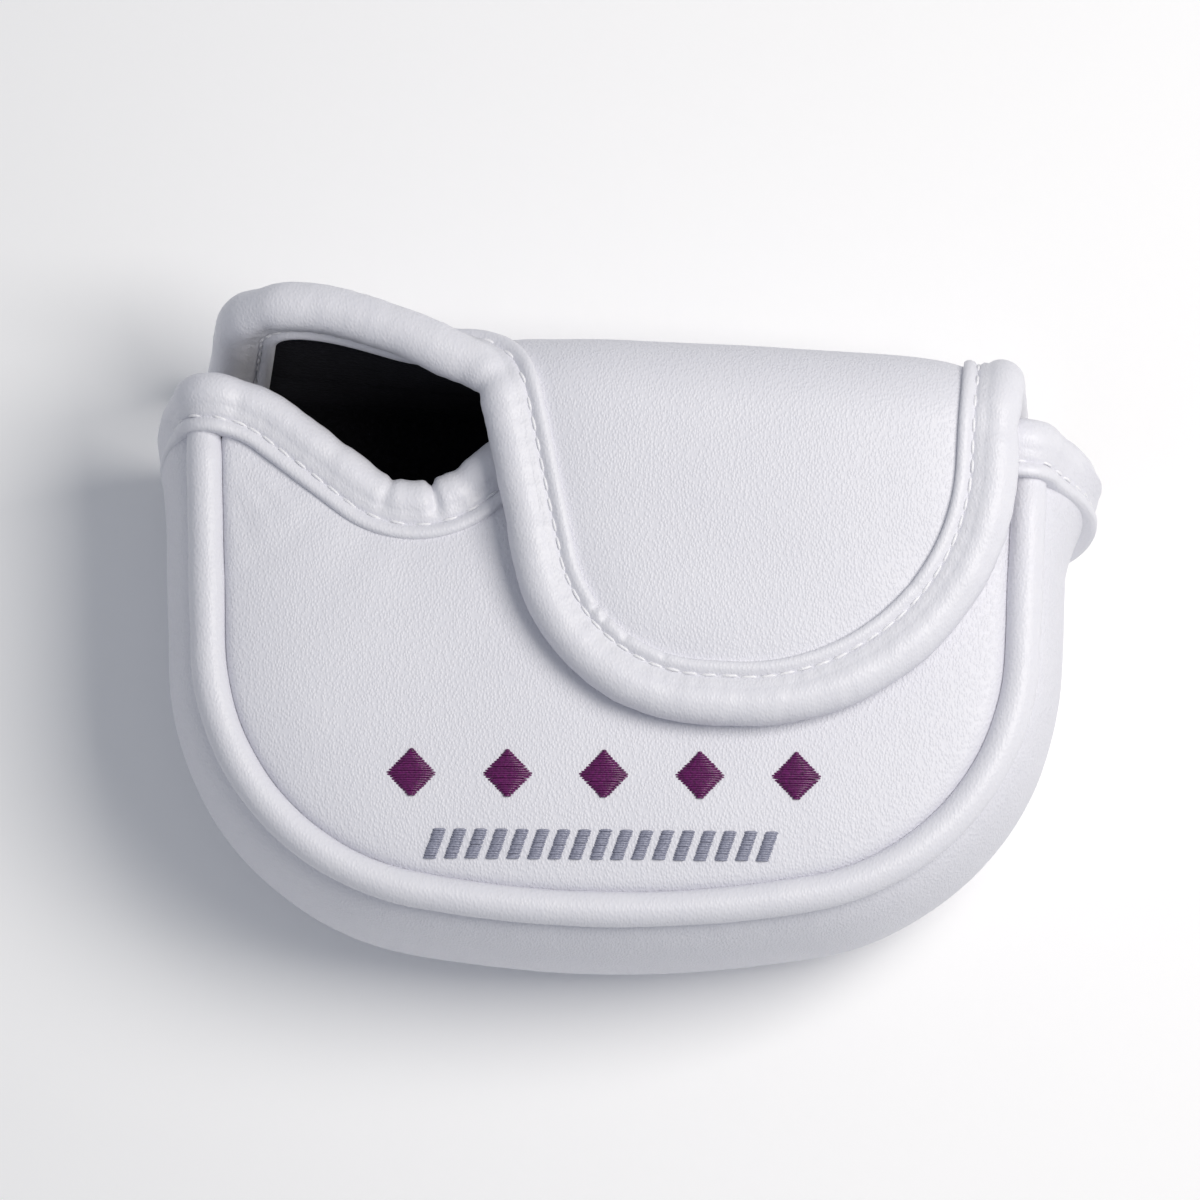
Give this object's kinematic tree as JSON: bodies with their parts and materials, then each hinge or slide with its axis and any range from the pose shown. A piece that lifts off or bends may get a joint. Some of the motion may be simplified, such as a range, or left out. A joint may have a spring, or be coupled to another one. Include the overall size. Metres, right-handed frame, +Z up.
{
  "type": "putter head cover",
  "caption": "Padded white leather cover for a mallet putter head, with a plush-lined pocket, piped seams, a shaft slot and a magnetic fold-over flap.",
  "frame": {"origin": "on the sole panel's outer face, which the cover lies on, on the pouch's centre line", "axes": "+Z up, from the sole side to the crown side; +Y towards the mouth, where the putter's face is; +X towards the toe"},
  "size_m": [0.1516, 0.1065, 0.0552],
  "materials": {
    "white_leather": "fine-grained polyurethane leather, satin",
    "plush_lining": "short black plush",
    "foam": "soft sheet foam, not seen",
    "piping_cord": "twisted cotton cord, not seen",
    "binding_padding": "foam strip, not seen",
    "white_thread": "polyester thread",
    "purple_thread": "glossy polyester embroidery thread",
    "grey_thread": "glossy polyester embroidery thread",
    "magnet": "nickel-plated disc, not seen"
  },
  "bodies": {
    "shell": {"braid_embroidery": "grey_thread", "crown_foam": "foam", "crown_lining": "plush_lining", "crown_magnets": "magnet", "crown_panel": "white_leather", "crown_piping": "white_leather", "crown_piping_cord": "piping_cord", "diamond_embroidery": "purple_thread", "gusset_foam": "foam", "gusset_lining": "plush_lining", "gusset_panel": "white_leather", "mouth_binding": "white_leather", "mouth_binding_padding": "binding_padding", "mouth_stitching": "white_thread", "sole_binding": "white_leather", "sole_binding_padding": "binding_padding", "sole_foam": "foam", "sole_lining": "plush_lining", "sole_panel": "white_leather", "sole_piping": "white_leather", "sole_piping_cord": "piping_cord"},
    "face_wall": {"wall_binding": "white_leather", "wall_binding_padding": "binding_padding", "wall_foam": "foam", "wall_lining": "plush_lining", "wall_panel": "white_leather", "root_hinge_binding": "white_leather", "root_hinge_binding_padding": "binding_padding", "root_hinge_lining": "plush_lining", "root_hinge_panel": "white_leather"},
    "flap": {"flap_binding": "white_leather", "flap_binding_padding": "binding_padding", "flap_foam": "foam", "flap_lining": "plush_lining", "flap_magnets": "magnet", "flap_panel": "white_leather", "flap_stitching": "white_thread", "fold_hinge_binding": "white_leather", "fold_hinge_binding_padding": "binding_padding", "fold_hinge_lining": "plush_lining", "fold_hinge_panel": "white_leather"}
  },
  "joints": [
    {"name": "flap_root", "type": "hinge", "parent": "shell", "child": "face_wall", "pos_m": [0.00029, 0.04029, 0.00445], "axis": [-0.999, 0.0454, 0], "range_deg": [0, 84], "deforming": ["root_hinge_binding", "root_hinge_binding_padding", "root_hinge_lining", "root_hinge_panel"]},
    {"name": "flap_fold", "type": "hinge", "parent": "face_wall", "child": "flap", "pos_m": [0.00029, 0.04029, 0.0498], "axis": [-0.999, 0.0454, 0], "range_deg": [0, 95], "deforming": ["fold_hinge_binding", "fold_hinge_binding_padding", "fold_hinge_lining", "fold_hinge_panel"]}
  ]
}
